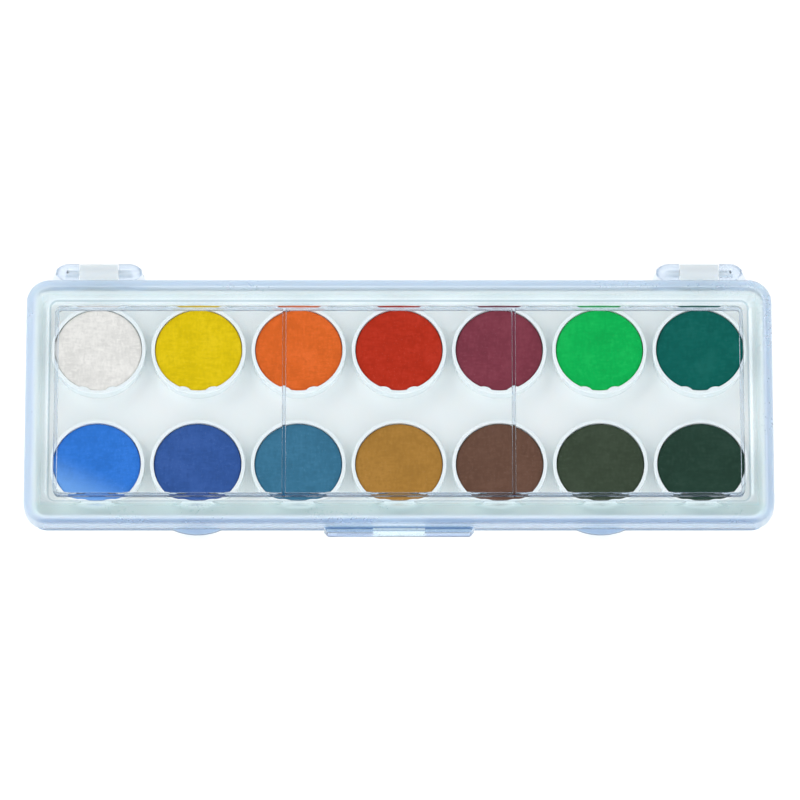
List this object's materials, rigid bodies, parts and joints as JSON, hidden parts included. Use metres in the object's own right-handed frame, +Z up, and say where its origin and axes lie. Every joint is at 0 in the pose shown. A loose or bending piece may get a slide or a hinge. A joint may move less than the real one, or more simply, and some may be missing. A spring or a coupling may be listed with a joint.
{
  "type": "watercolour paint set",
  "caption": "Slim hinged paint box: milky tray with white pans of round watercolour tablets in two rows, under a clear lid with mixing wells.",
  "frame": {"origin": "on the tray's flat underside, at the centre of the outline that the flange and lid share, without the hinges and clasp", "axes": "+X along the long side to the right as the clasp faces the user, +Y towards the hinges, +Z up"},
  "size_m": [0.255, 0.0981, 0.013],
  "materials": {
    "milky_plastic": "satin",
    "clear_plastic": "gloss",
    "white_plastic": "gloss",
    "paint_white": "matte",
    "paint_yellow": "matte",
    "paint_orange": "matte",
    "paint_red": "matte",
    "paint_purple": "matte",
    "paint_light_green": "matte",
    "paint_dark_green": "matte",
    "paint_light_blue": "matte",
    "paint_dark_blue": "matte",
    "paint_turquoise": "matte",
    "paint_ochre": "matte",
    "paint_brown": "matte",
    "paint_umber": "matte",
    "paint_black": "matte"
  },
  "bodies": {
    "base": {"tray": "milky_plastic", "pan_white": "white_plastic", "pan_yellow": "white_plastic", "pan_orange": "white_plastic", "pan_red": "white_plastic", "pan_purple": "white_plastic", "pan_light_green": "white_plastic", "pan_dark_green": "white_plastic", "pan_light_blue": "white_plastic", "pan_dark_blue": "white_plastic", "pan_turquoise": "white_plastic", "pan_ochre": "white_plastic", "pan_brown": "white_plastic", "pan_umber": "white_plastic", "pan_black": "white_plastic", "paint_white": "paint_white", "paint_yellow": "paint_yellow", "paint_orange": "paint_orange", "paint_red": "paint_red", "paint_purple": "paint_purple", "paint_light_green": "paint_light_green", "paint_dark_green": "paint_dark_green", "paint_light_blue": "paint_light_blue", "paint_dark_blue": "paint_dark_blue", "paint_turquoise": "paint_turquoise", "paint_ochre": "paint_ochre", "paint_brown": "paint_brown", "paint_umber": "paint_umber", "paint_black": "paint_black"},
    "lid": {"lid": "clear_plastic"}
  },
  "joints": [
    {"name": "lid_hinge", "type": "hinge", "parent": "base", "child": "lid", "pos_m": [0, 0.0487, 0.0065], "axis": [-1, 0, 0], "range_deg": [0, 180]}
  ]
}
